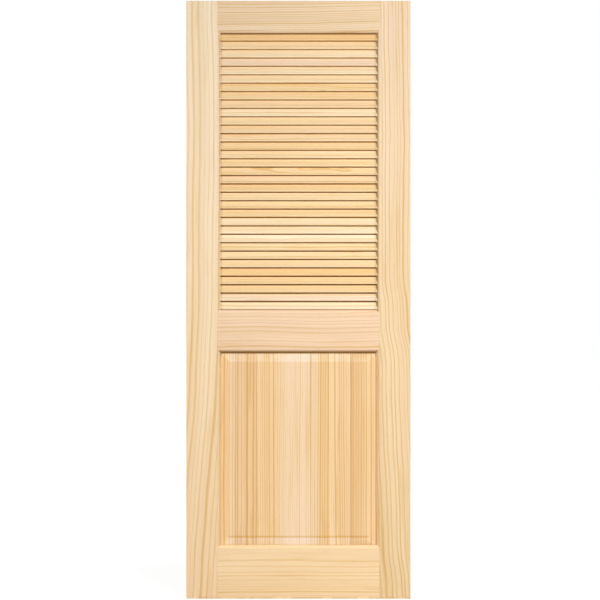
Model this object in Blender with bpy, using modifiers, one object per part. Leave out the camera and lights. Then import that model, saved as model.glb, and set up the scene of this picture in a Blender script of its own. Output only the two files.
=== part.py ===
"""Louvred interior door: a dowelled pine frame, fixed slats above, a raised panel below.

X runs across the door, Y through it (the front face is at -Y) and Z up it.
The origin is at the middle of the bottom edge. All sizes are in metres.
"""

from math import asin, cos, pi, radians, sin, sqrt, tan

import bmesh
import bpy
from mathutils import Matrix

# Overall sizes of the slab
DOOR_WIDTH = 0.762
DOOR_HEIGHT = 2.032
DOOR_THICKNESS = 0.035

# Frame members, each measured with its moulded edges
STILE_WIDTH = 0.1156
TOP_RAIL_HEIGHT = 0.1098
LOCK_RAIL_HEIGHT = 0.1456
LOCK_RAIL_BASE = 0.8357
BOTTOM_RAIL_HEIGHT = 0.1823

# Moulding on the inner edges: a small square quirk, then a flattened round that starts at an angle to the face
MOULDING_SIZE = 0.0098
MOULDING_QUIRK = 0.0010
MOULDING_START_ANGLE = 25.0
MOULDING_STEPS = 5

# Fixed louvre slats, let into slanted slots in the stiles; the top one is let into its rail too
SLAT_COUNT = 33
SLAT_WIDTH = 0.037
SLAT_THICKNESS = 0.0065
SLAT_NOSE_RADIUS = 0.0022
SLAT_NOSE_SHARE = 0.45
SLAT_NOSE_STEPS = 2
SLAT_TILT = 55.0
SLAT_SLOT_DEPTH = 0.008
SLAT_TOP_LET_IN = 0.0068
SLAT_BOTTOM_SPACE = 0.0020

# Seat along the lock rail's top, between its mouldings: it closes the space under the lowest slat
SEAT_LAP = 0.001

# Raised panel: thin tongue, sloped bevel, rounded step, then the flat field
PANEL_THICKNESS = 0.018
PANEL_TONGUE_THICKNESS = 0.0076
PANEL_TONGUE_LENGTH = 0.010
PANEL_MARGIN = 0.0325
PANEL_STEP_WIDTH = 0.0085
PANEL_STEP_DROP = 0.0019
PANEL_STEP_FACETS = 2
PANEL_TRIM_ROOM = 0.0004
PANEL_SWELL_SPACE = 0.002
STAVE_PROPORTIONS = (62, 72, 75, 106, 65, 72, 99)

# Dowels across each joint of a stile and a rail, spread evenly over the rail's height
DOWEL_DIAMETER = 0.0127
DOWEL_LENGTH = 0.127
DOWEL_CHAMFER = 0.0012
DOWEL_END_SPACE = 0.0005
DOWEL_SIDES = 12
DOWELS_TOP = ("upper", "lower")
DOWELS_LOCK = ("upper", "lower")
DOWELS_BOTTOM = ("upper", "middle", "lower")

# Clearance between pieces that touch, and how far a cutter runs past what it cuts
JOINT_GAP = 0.0003
CUT_OVERRUN = 0.004

# Places worked out from the sizes above
HALF_WIDTH = DOOR_WIDTH / 2
HALF_THICKNESS = DOOR_THICKNESS / 2
OPENING_HALF_WIDTH = HALF_WIDTH - STILE_WIDTH
TOP_RAIL_BASE = DOOR_HEIGHT - TOP_RAIL_HEIGHT
LOCK_RAIL_TOP = LOCK_RAIL_BASE + LOCK_RAIL_HEIGHT
MOULDING_START = radians(MOULDING_START_ANGLE)
MOULDING_RADIUS = (MOULDING_SIZE - MOULDING_QUIRK) / (cos(MOULDING_START) - sin(MOULDING_START))
GROOVE_WIDTH = PANEL_TONGUE_THICKNESS + 2 * JOINT_GAP
GROOVE_DEPTH = PANEL_TONGUE_LENGTH + PANEL_SWELL_SPACE
PANEL_HALF_WIDTH = OPENING_HALF_WIDTH + PANEL_TONGUE_LENGTH
PANEL_BASE = BOTTOM_RAIL_HEIGHT - PANEL_TONGUE_LENGTH
PANEL_TOP = LOCK_RAIL_BASE + PANEL_TONGUE_LENGTH
PANEL_STEP_RADIUS = (PANEL_STEP_WIDTH**2 + PANEL_STEP_DROP**2) / (2 * PANEL_STEP_DROP)

# A slat's nose can't be rounder than the slat is thick, so it is held to a share of the thickness
NOSE_RADIUS = min(SLAT_NOSE_RADIUS, SLAT_NOSE_SHARE * SLAT_THICKNESS)
SLAT_FLAT_WIDTH = SLAT_WIDTH - 2 * NOSE_RADIUS
SLAT_FLAT_THICKNESS = SLAT_THICKNESS - 2 * NOSE_RADIUS
TILT = radians(SLAT_TILT)
SLAT_RISE = SLAT_FLAT_WIDTH * sin(TILT) + SLAT_FLAT_THICKNESS * cos(TILT) + 2 * NOSE_RADIUS
SLAT_LENGTH = 2 * (OPENING_HALF_WIDTH + SLAT_SLOT_DEPTH - JOINT_GAP)
TOP_SLAT_HEIGHT = TOP_RAIL_BASE + SLAT_TOP_LET_IN - SLAT_RISE / 2
BOTTOM_SLAT_HEIGHT = LOCK_RAIL_TOP + SLAT_BOTTOM_SPACE + SLAT_RISE / 2
SLAT_PITCH = (TOP_SLAT_HEIGHT - BOTTOM_SLAT_HEIGHT) / (SLAT_COUNT - 1)

# The seat overlaps the lowest slat's nose from behind, and is as thick as the slope above it leaves room for
SEAT_RISE = SLAT_BOTTOM_SPACE + SEAT_LAP
SEAT_FALL = (SLAT_RISE - SLAT_THICKNESS * cos(TILT)) / 2 - SEAT_LAP - JOINT_GAP / cos(TILT)
SEAT_ROOM = SEAT_FALL / tan(TILT) - SLAT_THICKNESS * sin(TILT) / 2
SEAT_HALF_THICKNESS = min(SEAT_ROOM, HALF_THICKNESS - MOULDING_SIZE - JOINT_GAP)

# Turns an outline's own X, Y and thickness into the door's Y, Z and X
SECTION_TO_DOOR = Matrix(((0, 0, 1, 0), (1, 0, 0, 0), (0, 1, 0, 0), (0, 0, 0, 1)))

SIDES = (("left", -1), ("right", 1))
WOOD_COLOURS = {
    "stile_pine": (0.85, 0.64, 0.41, 1),
    "rail_pine": (0.86, 0.63, 0.40, 1),
    "slat_pine": (0.87, 0.63, 0.38, 1),
    "panel_pine": (0.86, 0.59, 0.33, 1),
    "dowel_birch": (0.76, 0.60, 0.42, 1),
}
WOOD_ROUGHNESS = 0.62
WELD_DISTANCE = 0.000001
SMOOTH_ANGLE = radians(35)
CHAMFER_ANGLE = radians(60)


def clear_scene():
    for old in list(bpy.data.objects):
        bpy.data.objects.remove(old, do_unlink=True)


def make_collection(name):
    collection = bpy.data.collections.new(name)
    bpy.context.scene.collection.children.link(collection)
    return collection


def make_wood(name, colour):
    material = bpy.data.materials.new(name)
    material.use_nodes = True
    shader = material.node_tree.nodes["Principled BSDF"]
    shader.inputs["Base Color"].default_value = colour
    shader.inputs["Roughness"].default_value = WOOD_ROUGHNESS
    shader.inputs["Metallic"].default_value = 0.0
    return material


def weld_and_face_out(mesh):
    work = bmesh.new()
    work.from_mesh(mesh)
    bmesh.ops.remove_doubles(work, verts=work.verts, dist=WELD_DISTANCE)
    bmesh.ops.recalc_face_normals(work, faces=work.faces)
    work.to_mesh(mesh)
    work.free()


def plate_mesh(name, outline, thickness, placement):
    """A flat outline given a thickness about its own plane, then placed, as one closed mesh."""
    curve = bpy.data.curves.new(name, "CURVE")
    curve.dimensions = "2D"
    curve.fill_mode = "BOTH"
    curve.extrude = thickness / 2
    spline = curve.splines.new("POLY")
    spline.points.add(len(outline) - 1)
    for point, (across, up) in zip(spline.points, outline):
        point.co = (across, up, 0, 1)
    spline.use_cyclic_u = True
    holder = bpy.data.objects.new(name, curve)
    bpy.context.scene.collection.objects.link(holder)
    evaluated = holder.evaluated_get(bpy.context.evaluated_depsgraph_get())
    mesh = bpy.data.meshes.new_from_object(evaluated)
    bpy.data.objects.remove(holder, do_unlink=True)
    bpy.data.curves.remove(curve)
    weld_and_face_out(mesh)
    mesh.transform(placement)
    mesh.shade_smooth()
    mesh.set_sharp_from_angle(angle=SMOOTH_ANGLE)
    mesh.name = name
    return mesh


def box_mesh(name, low, high):
    """A box between two corners."""
    size = [top - base for base, top in zip(low, high)]
    middle = [(top + base) / 2 for base, top in zip(low, high)]
    placement = Matrix.Translation(middle) @ Matrix.Diagonal((*size, 1))
    work = bmesh.new()
    bmesh.ops.create_cube(work, size=1, matrix=placement)
    mesh = bpy.data.meshes.new(name)
    work.to_mesh(mesh)
    work.free()
    return mesh


def rod_mesh(name, diameter, length):
    """A round rod along X, centred on the origin."""
    work = bmesh.new()
    bmesh.ops.create_cone(
        work,
        cap_ends=True,
        segments=DOWEL_SIDES,
        radius1=diameter / 2,
        radius2=diameter / 2,
        depth=length,
        matrix=Matrix.Rotation(pi / 2, 4, "Y"),
    )
    mesh = bpy.data.meshes.new(name)
    work.to_mesh(mesh)
    work.free()
    mesh.shade_smooth()
    mesh.set_sharp_from_angle(angle=SMOOTH_ANGLE)
    return mesh


def add_part(name, mesh, wood):
    if not mesh.materials:
        mesh.materials.append(wood)
    part = bpy.data.objects.new(name, mesh)
    part.parent = DOOR
    PARTS.objects.link(part)
    return part


def add_cutter(name, mesh):
    cutter = bpy.data.objects.new(name, mesh)
    cutter.hide_render = True
    cutter.display_type = "WIRE"
    cutter.parent = DOOR
    CUTTERS.objects.link(cutter)
    return cutter


def combine(part, cutter, operation):
    boolean = part.modifiers.new(cutter.name, "BOOLEAN")
    boolean.operation = operation
    boolean.solver = "EXACT"
    boolean.object = cutter


def moulding_arc(clearance=0.0):
    """The round as (reach, depth) pairs: reach from the flat face's edge, depth below the face.

    A clearance moves the curve out of the wood, for the cope that fits over it.
    """
    radius = MOULDING_RADIUS + clearance
    setback = MOULDING_RADIUS * sin(MOULDING_START)
    start = asin((setback + clearance) / radius)
    sweep = pi / 2 - 2 * start
    points = []
    for step in range(MOULDING_STEPS + 1):
        angle = start + sweep * step / MOULDING_STEPS
        points.append((radius * sin(angle) - setback, MOULDING_SIZE + setback - radius * cos(angle)))
    return points


def front_and_back(front):
    """An edge's points down from the front face, then the same points mirrored up to the back face."""
    return front + [(across, -depth) for across, depth in reversed(front)]


def moulded_front(edge, towards):
    """The front half of a moulded edge; towards is the opening's side of it, 1 or -1."""
    flat_end = edge - towards * MOULDING_SIZE
    front = [(flat_end, -HALF_THICKNESS)]
    for reach, depth in moulding_arc():
        front.append((flat_end + towards * reach, depth - HALF_THICKNESS))
    front.append((edge, MOULDING_SIZE - HALF_THICKNESS))
    return front


def moulded_edge(edge, towards):
    """A moulded edge as (across, depth) points."""
    return front_and_back(moulded_front(edge, towards))


def seated_edge(edge):
    """A moulded upper edge with the seat for the lowest slat standing between its mouldings."""
    seat = [(edge, -SEAT_HALF_THICKNESS), (edge + SEAT_RISE, -SEAT_HALF_THICKNESS)]
    return front_and_back(moulded_front(edge, 1) + seat)


def square_edge(edge):
    return front_and_back([(edge, -HALF_THICKNESS)])


def coped_end(towards):
    """A rail's end as (across, depth) points, cut to sit over a stile's moulding with clearance."""
    flat_edge = OPENING_HALF_WIDTH + MOULDING_SIZE
    front = [(towards * (flat_edge - JOINT_GAP), -HALF_THICKNESS - CUT_OVERRUN)]
    for reach, depth in moulding_arc(JOINT_GAP):
        front.append((towards * (flat_edge - reach), depth - HALF_THICKNESS))
    root_depth = MOULDING_SIZE - JOINT_GAP
    front.append((towards * (OPENING_HALF_WIDTH - JOINT_GAP), root_depth - HALF_THICKNESS))
    return front_and_back(front)


def slat_section(clearance=0.0):
    """A slat's section, round-cornered, as (along its width, through it) pairs."""
    radius = NOSE_RADIUS + clearance
    points = []
    for quarter, (across, through) in enumerate(((1, 1), (-1, 1), (-1, -1), (1, -1))):
        for step in range(SLAT_NOSE_STEPS + 1):
            angle = (quarter + step / SLAT_NOSE_STEPS) * pi / 2
            along = across * SLAT_FLAT_WIDTH / 2 + radius * cos(angle)
            points.append((along, through * SLAT_FLAT_THICKNESS / 2 + radius * sin(angle)))
    return points


def slat_slot(name, length, middle):
    """The space a slat needs: its section with clearance, tilted, at the height of the top slat."""
    tilted = Matrix.Rotation(TILT, 4, "X") @ SECTION_TO_DOOR
    slot = add_cutter(name, plate_mesh(name, slat_section(JOINT_GAP), length, tilted))
    slot.location = (middle, 0, TOP_SLAT_HEIGHT)
    return slot


def panel_rise(extra):
    """The panel's half thickness against the distance in from its edge.

    extra carries the step's last slope on past the field, for a shape that another one will trim.
    """
    field = PANEL_THICKNESS / 2
    field_edge = PANEL_TONGUE_LENGTH + PANEL_MARGIN
    rise = [(0.0, PANEL_TONGUE_THICKNESS / 2), (PANEL_TONGUE_LENGTH, PANEL_TONGUE_THICKNESS / 2)]
    for facet in range(PANEL_STEP_FACETS):
        out = PANEL_STEP_WIDTH * (1 - facet / PANEL_STEP_FACETS)
        drop = PANEL_STEP_RADIUS - sqrt(PANEL_STEP_RADIUS**2 - out**2)
        rise.append((field_edge - out, field - drop))
    rise.append((field_edge + extra * out / drop, field + extra))
    return rise


def raised_outline(low, high, extra=0.0, low_raised=True, high_raised=True):
    """A board's outline from low to high, raised from a tongue at the ends that are asked for."""
    rise = panel_rise(extra)
    plain = [(0.0, rise[-1][1])]
    rising = [(low + distance, half) for distance, half in (rise if low_raised else plain)]
    falling = [(high - distance, half) for distance, half in (rise if high_raised else plain)]
    upper = rising + falling[::-1]
    return upper + [(across, -half) for across, half in reversed(upper)]


def dowel_places():
    """Each dowel's name and middle, half of it in the stile and half in the rail."""
    joints = (
        ("top", TOP_RAIL_BASE, TOP_RAIL_HEIGHT, DOWELS_TOP),
        ("lock", LOCK_RAIL_BASE, LOCK_RAIL_HEIGHT, DOWELS_LOCK),
        ("bottom", 0.0, BOTTOM_RAIL_HEIGHT, DOWELS_BOTTOM),
    )
    places = {}
    for rail, base, height, names in joints:
        spacing = height / len(names)
        for number, name in enumerate(names):
            level = base + height - (number + 0.5) * spacing
            for side, direction in SIDES:
                places[f"dowel_{rail}_{side}_{name}"] = (direction * OPENING_HALF_WIDTH, 0, level)
    return places


def add_dowels(wood):
    """The dowels, and the cutters that bore both halves of each one's hole."""
    dowel = rod_mesh("dowel", DOWEL_DIAMETER, DOWEL_LENGTH)
    hole = rod_mesh("dowel_hole", DOWEL_DIAMETER + 2 * JOINT_GAP, DOWEL_LENGTH + 2 * DOWEL_END_SPACE)
    holes = {}
    for name, place in dowel_places().items():
        pin = add_part(name, dowel, wood)
        pin.location = place
        chamfer = pin.modifiers.new("chamfered ends", "BEVEL")
        chamfer.width = DOWEL_CHAMFER
        chamfer.segments = 1
        chamfer.limit_method = "ANGLE"
        chamfer.angle_limit = CHAMFER_ANGLE
        holes[name] = add_cutter(f"{name}_hole", hole)
        holes[name].location = place
    return holes


def add_slats(wood):
    """The slats, all of one section, tilted so that the lower edge is at the front."""
    slat = plate_mesh("louvre_slat", slat_section(), SLAT_LENGTH, SECTION_TO_DOOR)
    for number in range(SLAT_COUNT):
        part = add_part(f"louvre_slat_{number + 1:02d}", slat, wood)
        part.location = (0, 0, TOP_SLAT_HEIGHT - number * SLAT_PITCH)
        part.rotation_euler = (TILT, 0, 0)


def add_stile(side, direction, holes, wood):
    """A stile: moulded on its inner edge, with the panel's groove, the slat slots and the dowel holes."""
    name = f"stile_{side}"
    inner = direction * OPENING_HALF_WIDTH
    outline = moulded_edge(inner, -direction) + square_edge(direction * HALF_WIDTH)[::-1]
    upright = Matrix.Translation((0, 0, DOOR_HEIGHT / 2))
    stile = add_part(name, plate_mesh(name, outline, DOOR_HEIGHT, upright), wood)

    mouth = inner - direction * CUT_OVERRUN
    bottom = inner + direction * GROOVE_DEPTH
    low = (min(mouth, bottom), -GROOVE_WIDTH / 2, PANEL_BASE - PANEL_SWELL_SPACE)
    high = (max(mouth, bottom), GROOVE_WIDTH / 2, PANEL_TOP + PANEL_SWELL_SPACE)
    groove = add_cutter(f"{name}_groove", box_mesh(f"{name}_groove", low, high))
    combine(stile, groove, "DIFFERENCE")

    reach = SLAT_SLOT_DEPTH + MOULDING_SIZE
    slots = slat_slot(f"{name}_slots", reach, inner + direction * (SLAT_SLOT_DEPTH - reach / 2))
    repeat = slots.modifiers.new("one slot for each slat", "ARRAY")
    repeat.count = SLAT_COUNT
    repeat.use_relative_offset = False
    repeat.use_constant_offset = True
    repeat.constant_offset_displace = (0, 0, -SLAT_PITCH)
    combine(stile, slots, "DIFFERENCE")

    for hole_name, hole in holes.items():
        if f"_{side}_" in hole_name:
            combine(stile, hole, "DIFFERENCE")


def add_rail(rail, lower_edge, upper_edge, holes, wood):
    """A rail: a bar with the edges given, its ends coped over the stiles, bored for its dowels."""
    name = f"rail_{rail}"
    section = [(depth, height) for height, depth in lower_edge + upper_edge[::-1]]
    part = add_part(name, plate_mesh(name, section, DOOR_WIDTH, SECTION_TO_DOOR), wood)

    base = min(height for height, depth in lower_edge)
    top = max(height for height, depth in upper_edge)
    plan = coped_end(-1) + coped_end(1)[::-1]
    middle = Matrix.Translation((0, 0, (base + top) / 2))
    cope = plate_mesh(f"{name}_cope", plan, top - base + 2 * CUT_OVERRUN, middle)
    combine(part, add_cutter(f"{name}_cope", cope), "INTERSECT")

    for hole_name, hole in holes.items():
        if hole_name.startswith(f"dowel_{rail}_"):
            combine(part, hole, "DIFFERENCE")
    return part


def cut_panel_groove(rail, low_height, high_height):
    """The groove along a rail's edge that takes the panel's tongue."""
    name = f"{rail.name}_groove"
    low = (-HALF_WIDTH, -GROOVE_WIDTH / 2, low_height)
    high = (HALF_WIDTH, GROOVE_WIDTH / 2, high_height)
    combine(rail, add_cutter(name, box_mesh(name, low, high)), "DIFFERENCE")


def add_rails(holes, wood):
    top_rail = add_rail("top", moulded_edge(TOP_RAIL_BASE, -1), square_edge(DOOR_HEIGHT), holes, wood)
    combine(top_rail, slat_slot("rail_top_slot", SLAT_LENGTH + 2 * JOINT_GAP, 0), "DIFFERENCE")

    lock_edges = moulded_edge(LOCK_RAIL_BASE, -1), seated_edge(LOCK_RAIL_TOP)
    lock_rail = add_rail("lock", *lock_edges, holes, wood)
    cut_panel_groove(lock_rail, LOCK_RAIL_BASE - CUT_OVERRUN, LOCK_RAIL_BASE + GROOVE_DEPTH)

    bottom_edges = square_edge(0.0), moulded_edge(BOTTOM_RAIL_HEIGHT, 1)
    bottom_rail = add_rail("bottom", *bottom_edges, holes, wood)
    cut_panel_groove(bottom_rail, BOTTOM_RAIL_HEIGHT - GROOVE_DEPTH, BOTTOM_RAIL_HEIGHT + CUT_OVERRUN)


def add_panel(wood):
    """The raised panel, in staves: each has the panel's plan and is trimmed by the panel's side view."""
    side_view = [(depth, height) for height, depth in raised_outline(PANEL_BASE, PANEL_TOP)]
    span = 2 * PANEL_HALF_WIDTH + 2 * CUT_OVERRUN
    trimmer = add_cutter("panel_side_view", plate_mesh("panel_side_view", side_view, span, SECTION_TO_DOOR))

    unit = 2 * PANEL_HALF_WIDTH / sum(STAVE_PROPORTIONS)
    height = PANEL_TOP - PANEL_BASE + 2 * CUT_OVERRUN
    middle = Matrix.Translation((0, 0, (PANEL_BASE + PANEL_TOP) / 2))
    left = -PANEL_HALF_WIDTH
    for number, proportion in enumerate(STAVE_PROPORTIONS, start=1):
        name = f"panel_stave_{number}"
        right = left + proportion * unit
        first = number == 1
        last = number == len(STAVE_PROPORTIONS)
        low = left if first else left + JOINT_GAP / 2
        high = right if last else right - JOINT_GAP / 2
        plan = raised_outline(low, high, PANEL_TRIM_ROOM, first, last)
        stave = add_part(name, plate_mesh(name, plan, height, middle), wood)
        combine(stave, trimmer, "INTERSECT")
        left = right


clear_scene()
PARTS = make_collection("louvred_door")
CUTTERS = make_collection("louvred_door_cutters")
DOOR = bpy.data.objects.new("louvred_door_origin", None)
PARTS.objects.link(DOOR)

WOODS = {name: make_wood(name, colour) for name, colour in WOOD_COLOURS.items()}
DOWEL_HOLES = add_dowels(WOODS["dowel_birch"])
for stile_side, stile_direction in SIDES:
    add_stile(stile_side, stile_direction, DOWEL_HOLES, WOODS["stile_pine"])
add_rails(DOWEL_HOLES, WOODS["rail_pine"])
add_slats(WOODS["slat_pine"])
add_panel(WOODS["panel_pine"])
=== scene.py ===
# %% [markdown]
# # A louvred pine door
# A bare interior door: two stiles, three rails, fixed slats above the lock rail and a raised panel below it.
# The packed model already has every piece in its real place and size. It could be shown as it is, with
# flat-sided mouldings and plain colours. Here each piece is made again with the finish of real joinery, and
# the packed model stays as the fixed frame that says where everything goes.

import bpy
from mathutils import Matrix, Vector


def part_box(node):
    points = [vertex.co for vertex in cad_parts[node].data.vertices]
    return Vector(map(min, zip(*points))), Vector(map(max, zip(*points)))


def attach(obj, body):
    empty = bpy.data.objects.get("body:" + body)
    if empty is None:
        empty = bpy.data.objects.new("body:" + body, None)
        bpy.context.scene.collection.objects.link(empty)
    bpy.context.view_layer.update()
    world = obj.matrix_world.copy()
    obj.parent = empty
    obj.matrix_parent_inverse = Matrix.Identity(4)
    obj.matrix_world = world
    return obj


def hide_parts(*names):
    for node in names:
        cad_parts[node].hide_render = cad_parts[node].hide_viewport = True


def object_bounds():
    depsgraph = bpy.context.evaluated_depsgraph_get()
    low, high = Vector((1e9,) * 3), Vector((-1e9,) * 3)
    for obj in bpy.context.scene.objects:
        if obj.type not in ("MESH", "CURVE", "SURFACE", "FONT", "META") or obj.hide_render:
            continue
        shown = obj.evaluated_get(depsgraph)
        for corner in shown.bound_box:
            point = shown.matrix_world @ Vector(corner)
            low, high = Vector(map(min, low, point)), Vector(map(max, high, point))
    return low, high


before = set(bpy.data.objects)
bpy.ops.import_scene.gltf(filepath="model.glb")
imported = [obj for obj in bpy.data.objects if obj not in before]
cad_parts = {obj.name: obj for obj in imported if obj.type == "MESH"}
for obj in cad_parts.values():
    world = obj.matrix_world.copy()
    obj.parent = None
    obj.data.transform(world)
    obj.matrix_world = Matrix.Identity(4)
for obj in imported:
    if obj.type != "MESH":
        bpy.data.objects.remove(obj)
cad_low, cad_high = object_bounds()
print("door box", [round(size, 4) for size in cad_high - cad_low], "m,", len(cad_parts), "nodes")

# %% [markdown]
# ## Sizes from the frame
# A joiner sets out a door from a few lines: the edges of the stiles, the rails and the slats. They could be
# typed in again, but then the looks and the model could drift apart. Reading them from the packed nodes keeps
# them one and the same. Only what a box can't tell, such as a radius or an angle, is written down below.

# %% Read the setting-out lines
from math import asin, cos, pi, radians, sin, tan

import bmesh
import bpy
import numpy as np
from mathutils import Matrix, Vector

SLAT_NODES = sorted(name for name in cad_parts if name.startswith("louvre_slat"))
STAVE_NODES = sorted(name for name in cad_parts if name.startswith("panel_stave"))
DOWEL_NODES = sorted(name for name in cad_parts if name.startswith("dowel"))

DOOR_HEIGHT = cad_high.z
HALF_WIDTH = cad_high.x
HALF_THICKNESS = cad_high.y
OPENING_HALF_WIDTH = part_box("stile_right")[0].x
TOP_RAIL_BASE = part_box("rail_top")[0].z
LOCK_RAIL_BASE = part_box("rail_lock")[0].z
# The lowest slat's seat stands on the lock rail, and the rail's box takes it in
SEAT_RISE = 0.0030
LOCK_RAIL_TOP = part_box("rail_lock")[1].z - SEAT_RISE
BOTTOM_RAIL_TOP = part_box("rail_bottom")[1].z
SLAT_MIDDLES = [sum(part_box(name), Vector()) / 2 for name in SLAT_NODES]
SLAT_LOW, SLAT_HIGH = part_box(SLAT_NODES[0])
PANEL_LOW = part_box(STAVE_NODES[0])[0]
PANEL_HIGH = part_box(STAVE_NODES[-1])[1]
print(len(SLAT_NODES), "slats", round((SLAT_MIDDLES[0] - SLAT_MIDDLES[1]).z * 1000, 1), "mm apart")

# %% [markdown]
# ## The camera
# The photograph is taken square on with a long lens, so the door's edges stay parallel. A parallel camera
# would do that too, but from a real distance the top slats show a little more of their undersides than the
# bottom ones do. The lens and the place follow from where the door's edges lie in the 600 pixel picture.

# %% Set up the camera
PICTURE_PIXELS = 600
DOOR_TOP_PIXEL = 0.75
DOOR_BOTTOM_PIXEL = 598.7
DOOR_LEFT_PIXEL = 186.8
DOOR_RIGHT_PIXEL = 410.0
CAMERA_DISTANCE = 8.0

metres_per_pixel = DOOR_HEIGHT / (DOOR_BOTTOM_PIXEL - DOOR_TOP_PIXEL)
middle_pixel = PICTURE_PIXELS / 2
camera_x = (middle_pixel - (DOOR_LEFT_PIXEL + DOOR_RIGHT_PIXEL) / 2) * metres_per_pixel
camera_z = DOOR_HEIGHT - (middle_pixel - DOOR_TOP_PIXEL) * metres_per_pixel

camera_data = bpy.data.cameras.new("camera")
camera_data.lens = camera_data.sensor_width * CAMERA_DISTANCE / (PICTURE_PIXELS * metres_per_pixel)
camera = bpy.data.objects.new("camera", camera_data)
camera.location = (camera_x, -HALF_THICKNESS - CAMERA_DISTANCE, camera_z)
camera.rotation_euler = (pi / 2, 0, 0)
bpy.context.scene.collection.objects.link(camera)
bpy.context.scene.camera = camera
print("lens", round(camera_data.lens, 1), "mm,", round(metres_per_pixel * 1000, 3), "mm to a pixel")

# %% [markdown]
# ## Node maths in Python
# Wood takes a lot of small sums: distances from the heart of a log, fractions of a ring, mixes of colours.
# Each sum is a node, and placing them one by one hides the thought behind them. This small class wraps a
# socket, so that `1 - mask` or `place * (4, 4, 1)` adds the node by itself. Numbers use Math nodes, while
# colours and vectors use Vector Math, because a Math node would turn a colour grey. Geometry Nodes have the
# same maths, so the slats use the class too.

# %% A socket that can be used in expressions
class Wire:
    """A node's output socket, used like a number, a vector or a colour."""

    def __init__(self, tree, socket=None):
        self.tree = tree
        self.socket = socket

    def node(self, kind, settings, inputs, output=0):
        """Adds any node: its settings come first, then its sockets' values or links."""
        made = self.tree.nodes.new(kind)
        for name, value in settings.items():
            setattr(made, name, value)
        for name, value in inputs.items():
            if isinstance(value, Wire):
                self.tree.links.new(value.socket, made.inputs[name])
            else:
                made.inputs[name].default_value = value
        return Wire(self.tree, made.outputs[output])

    def into(self, node, name):
        """Leads this value into a node's socket."""
        self.tree.links.new(self.socket, node.inputs[name])

    def maths(self, operation, *values):
        """One sum, by a Math node or, where a vector or a colour takes part, by a Vector Math node."""
        wide = [isinstance(value, tuple) or getattr(value, "is_wide", False) for value in values]
        if not any(wide):
            return self.node("ShaderNodeMath", {"operation": operation}, dict(enumerate(values)))
        spread = [(value,) * 3 if isinstance(value, (int, float)) else value for value in values]
        return self.node("ShaderNodeVectorMath", {"operation": operation}, dict(enumerate(spread)))

    @property
    def is_wide(self):
        return self.socket.type in ("VECTOR", "RGBA")

    def __add__(self, other):
        return self.maths("ADD", self, other)

    __radd__ = __add__

    def __sub__(self, other):
        return self.maths("SUBTRACT", self, other)

    def __rsub__(self, other):
        return self.maths("SUBTRACT", other, self)

    def __mul__(self, other):
        return self.maths("MULTIPLY", self, other)

    __rmul__ = __mul__

    def __truediv__(self, other):
        return self.maths("DIVIDE", self, other)

    def __abs__(self):
        return self.maths("ABSOLUTE", self)

    def larger(self, other):
        return self.maths("MAXIMUM", self, other)

    def length(self):
        return self.node("ShaderNodeVectorMath", {"operation": "LENGTH"}, {0: self}, "Value")

    def vector(self, **parts):
        """A vector from numbers for X, Y and Z, where one that is left out is 0."""
        return self.node("ShaderNodeCombineXYZ", {}, parts)

    def part(self, axis):
        """One of a vector's numbers, by its letter."""
        return self.node("ShaderNodeSeparateXYZ", {}, {0: self}, axis)

    def ramp(self, low, high):
        """A smooth rise from 0 at low to 1 at high."""
        stops = {"From Min": low, "From Max": high}
        return self.node("ShaderNodeMapRange", {"interpolation_type": "SMOOTHSTEP"}, {"Value": self, **stops})

    def mix(self, first, second):
        """The first colour where this value is 0, the second where it is 1."""
        blend = {"Factor": self, 6: first, 7: second}
        return self.node("ShaderNodeMix", {"data_type": "RGBA", "clamp_factor": True}, blend, 2)

    def noise(self, detail=0.0, output="Fac"):
        """Soft 3-D noise with about one bump to each unit of this vector."""
        inputs = {"Vector": self, "Scale": 1.0, "Detail": detail}
        return self.node("ShaderNodeTexNoise", {"noise_dimensions": "3D"}, inputs, output)

    def noise_along(self, scale):
        """Soft noise along this number, with about that many bumps to a unit."""
        return self.node("ShaderNodeTexNoise", {"noise_dimensions": "1D"}, {"W": self, "Scale": scale})

    def chance(self):
        """A number from 0 to 1 that is drawn afresh for each value of this one."""
        return self.node("ShaderNodeTexWhiteNoise", {"noise_dimensions": "1D"}, {"W": self}, "Value")

    def object_spot(self):
        """Each point's place on its object, in metres."""
        return self.node("ShaderNodeTexCoord", {}, {}, "Object")


print("a wire can do", ", ".join(name for name in vars(Wire) if not name.startswith("_")))

# %% [markdown]
# ## Pine
# Pine grows a ring each year: pale wood in spring, then a thin darker band that ends abruptly. A saw cuts
# across those rings, and the lines on a board are where its faces meet them. A flat stretched noise looks
# like wood from the front only, and breaks at every edge. So the grain here is solid: each point of a board
# has a place in its log, and the distance from the log's heart says which ring it lies in. Then the lines
# run over a bevel, round a moulding and into the end grain as they do on the real door.

# %% Grow the rings and the fine grain
# Bumps to a metre, in the two directions across the log and then along it
WANDER_SCALE = (5.0, 5.0, 2.2)
WAVER_SCALE = (20.0, 20.0, 9.0)
FIBRE_SCALE = (700.0, 700.0, 12.0)
FLECK_SCALE = (520.0, 520.0, 45.0)
STREAK_SCALE = (60.0, 60.0, 3.5)
PATCH_SCALE = (11.0, 11.0, 1.7)
WANDER_WEIGHT = 2.2
WAVER_WEIGHT = 0.6
# Bumps to a ring
YEAR_SCALE = 0.45
ERA_SCALE = 0.22
YEAR_UNEVENNESS = 1.1
# Shares of a year: when the dark band starts at the earliest, how much later it may, its peak and its end
BAND_START = 0.35
BAND_DELAY = 0.45
BAND_PEAK = 0.90
BAND_END = (0.93, 1.0)
FAINTEST_BAND = 0.5
# The values of a noise between which a pattern comes up
ERA_RISE = (0.35, 0.65)
FLECK_RISE = (0.68, 0.80)
STREAK_RISE = (0.56, 0.78)


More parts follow.
